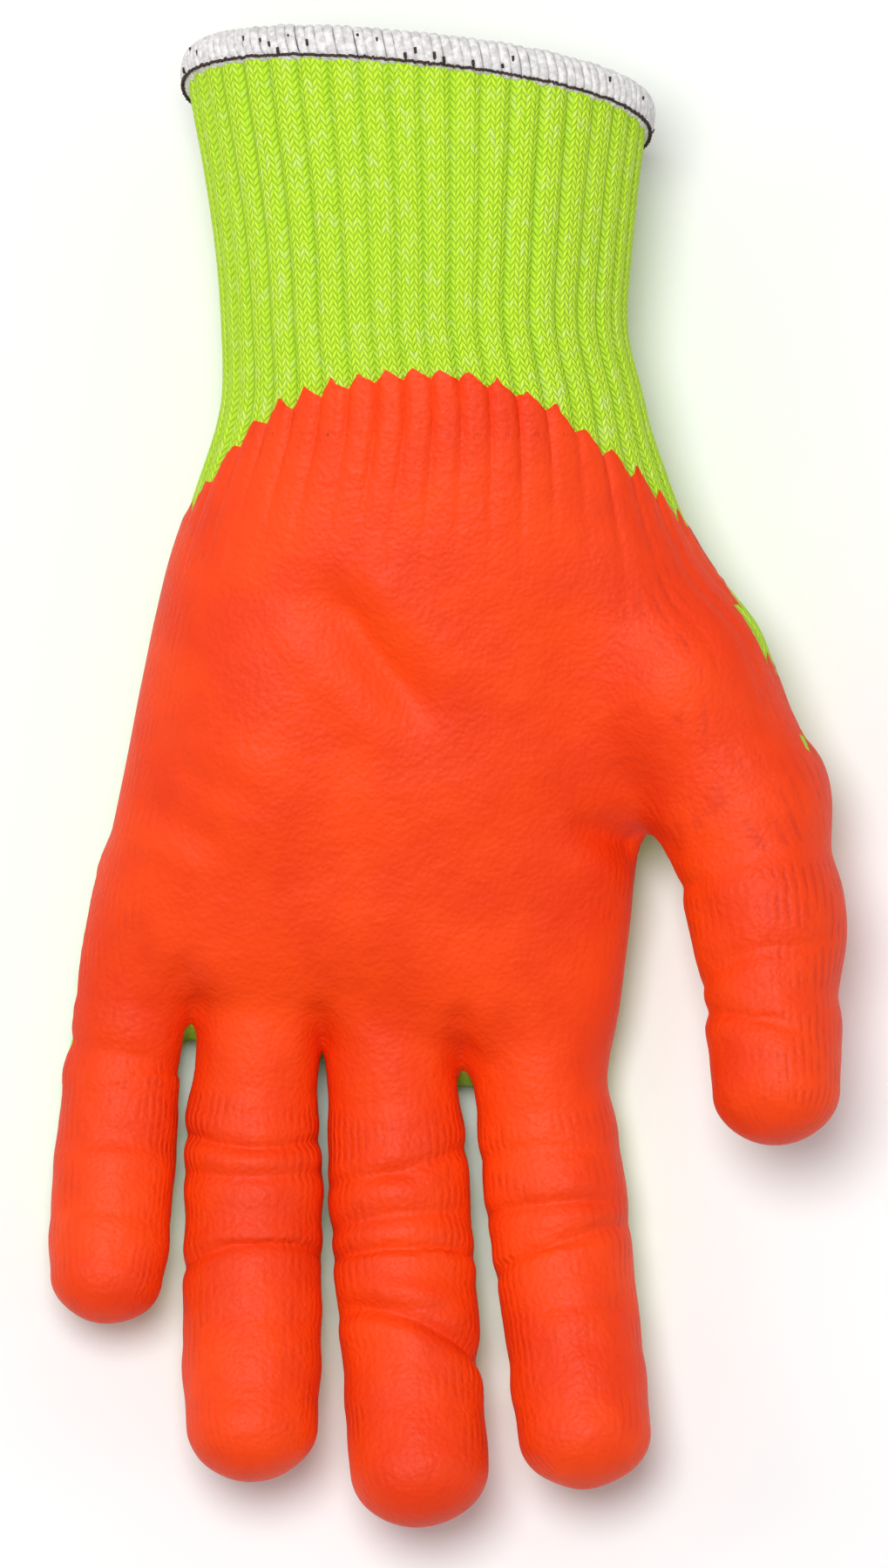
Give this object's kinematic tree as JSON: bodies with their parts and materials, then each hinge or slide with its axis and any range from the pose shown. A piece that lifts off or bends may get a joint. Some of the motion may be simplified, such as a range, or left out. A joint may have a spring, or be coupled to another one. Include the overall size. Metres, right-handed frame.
{
  "type": "work glove",
  "caption": "Coated knit work glove for the left hand: ribbed cuff, dipped palm, fingers that curl at each knuckle and a wrist that bends.",
  "frame": {"origin": "on the floor under the middle of the glove, which lies on its back with the palm up", "axes": "+X towards the thumb side, +Y towards the cuff, -Y down the fingers, +Z out of the palm"},
  "size_m": [0.1358, 0.2585, 0.0598],
  "materials": {
    "knit": "knitted hi-vis lime liner",
    "cuff_knit": "ribbed hi-vis lime knit with light grey flecks",
    "coating": "matte foam polymer dip, fine grain",
    "hem_thread": "overlocked polyester thread",
    "needle_thread": "sewing thread",
    "elastic": "covered elastic yarn"
  },
  "bodies": {
    "hand": {"hand_liner": "knit", "hand_coating": "coating"},
    "cuff": {"cuff_rib": "cuff_knit", "cuff_elastic": "elastic", "hem_binding": "hem_thread", "hem_needle_thread": "needle_thread"},
    "pinky_proximal": {"pinky_proximal_liner": "knit", "pinky_proximal_coating": "coating"},
    "pinky_middle": {"pinky_middle_liner": "knit", "pinky_middle_coating": "coating"},
    "pinky_distal": {"pinky_distal_liner": "knit", "pinky_distal_coating": "coating"},
    "ring_proximal": {"ring_proximal_liner": "knit", "ring_proximal_coating": "coating"},
    "ring_middle": {"ring_middle_liner": "knit", "ring_middle_coating": "coating"},
    "ring_distal": {"ring_distal_liner": "knit", "ring_distal_coating": "coating"},
    "middle_proximal": {"middle_proximal_liner": "knit", "middle_proximal_coating": "coating"},
    "middle_middle": {"middle_middle_liner": "knit", "middle_middle_coating": "coating"},
    "middle_distal": {"middle_distal_liner": "knit", "middle_distal_coating": "coating"},
    "index_proximal": {"index_proximal_liner": "knit", "index_proximal_coating": "coating"},
    "index_middle": {"index_middle_liner": "knit", "index_middle_coating": "coating"},
    "index_distal": {"index_distal_liner": "knit", "index_distal_coating": "coating"},
    "thumb_base": {"thumb_base_liner": "knit", "thumb_base_coating": "coating"},
    "thumb_tip": {"thumb_tip_liner": "knit", "thumb_tip_coating": "coating"}
  },
  "joints": [
    {"name": "wrist_hinge", "type": "hinge", "parent": "hand", "child": "cuff", "pos_m": [-0.0044, 0.0796, 0.0276], "axis": [1, 0, 0], "range_deg": [-30, 30], "stiffness_Nm_per_rad": 0.12},
    {"name": "pinky_base_knuckle", "type": "hinge", "parent": "hand", "child": "pinky_proximal", "pos_m": [-0.0567, -0.0499, 0.0106], "axis": [-0.9976, 0.0698, 0], "range_deg": [-10, 50], "stiffness_Nm_per_rad": 0.02},
    {"name": "pinky_middle_knuckle", "type": "hinge", "parent": "pinky_proximal", "child": "pinky_middle", "pos_m": [-0.05777, -0.06528, 0.01222], "axis": [-0.9976, 0.0698, 0], "range_deg": [-5, 65], "stiffness_Nm_per_rad": 0.02},
    {"name": "pinky_end_knuckle", "type": "hinge", "parent": "pinky_middle", "child": "pinky_distal", "pos_m": [-0.05876, -0.07931, 0.01573], "axis": [-0.9976, 0.0698, 0], "range_deg": [-5, 40], "stiffness_Nm_per_rad": 0.02},
    {"name": "ring_base_knuckle", "type": "hinge", "parent": "hand", "child": "ring_proximal", "pos_m": [-0.0338, -0.0579, 0.0118], "axis": [-1, 0, 0], "range_deg": [-10, 55], "stiffness_Nm_per_rad": 0.02},
    {"name": "ring_middle_knuckle", "type": "hinge", "parent": "ring_proximal", "child": "ring_middle", "pos_m": [-0.0338, -0.08028, 0.01415], "axis": [-1, 0, 0], "range_deg": [-5, 75], "stiffness_Nm_per_rad": 0.02},
    {"name": "ring_end_knuckle", "type": "hinge", "parent": "ring_middle", "child": "ring_distal", "pos_m": [-0.0338, -0.10114, 0.01935], "axis": [-1, 0, 0], "range_deg": [-5, 45], "stiffness_Nm_per_rad": 0.02},
    {"name": "middle_base_knuckle", "type": "hinge", "parent": "hand", "child": "middle_proximal", "pos_m": [-0.009, -0.0599, 0.0119], "axis": [-0.9976, -0.0698, 0], "range_deg": [-10, 55], "stiffness_Nm_per_rad": 0.02},
    {"name": "middle_middle_knuckle", "type": "hinge", "parent": "middle_proximal", "child": "middle_middle", "pos_m": [-0.00737, -0.08321, 0.01436], "axis": [-0.9976, -0.0698, 0], "range_deg": [-5, 75], "stiffness_Nm_per_rad": 0.02},
    {"name": "middle_end_knuckle", "type": "hinge", "parent": "middle_middle", "child": "middle_distal", "pos_m": [-0.00578, -0.10596, 0.02004], "axis": [-0.9976, -0.0698, 0], "range_deg": [-5, 45], "stiffness_Nm_per_rad": 0.02},
    {"name": "index_base_knuckle", "type": "hinge", "parent": "hand", "child": "index_proximal", "pos_m": [0.0176, -0.0604, 0.0118], "axis": [-0.9925, -0.1219, 0], "range_deg": [-10, 55], "stiffness_Nm_per_rad": 0.02},
    {"name": "index_middle_knuckle", "type": "hinge", "parent": "index_proximal", "child": "index_middle", "pos_m": [0.02027, -0.08212, 0.0141], "axis": [-0.9925, -0.1219, 0], "range_deg": [-5, 75], "stiffness_Nm_per_rad": 0.02},
    {"name": "index_end_knuckle", "type": "hinge", "parent": "index_middle", "child": "index_distal", "pos_m": [0.02287, -0.1033, 0.01942], "axis": [-0.9925, -0.1219, 0], "range_deg": [-5, 45], "stiffness_Nm_per_rad": 0.02},
    {"name": "thumb_base_knuckle", "type": "hinge", "parent": "hand", "child": "thumb_base", "pos_m": [0.0524, -0.0194, 0.0285], "axis": [-0.6913, -0.1717, -0.7018], "range_deg": [-10, 35], "stiffness_Nm_per_rad": 0.02},
    {"name": "thumb_end_knuckle", "type": "hinge", "parent": "thumb_base", "child": "thumb_tip", "pos_m": [0.05424, -0.04104, 0.03199], "axis": [-0.6913, -0.1717, -0.7018], "range_deg": [-10, 50], "stiffness_Nm_per_rad": 0.02}
  ]
}
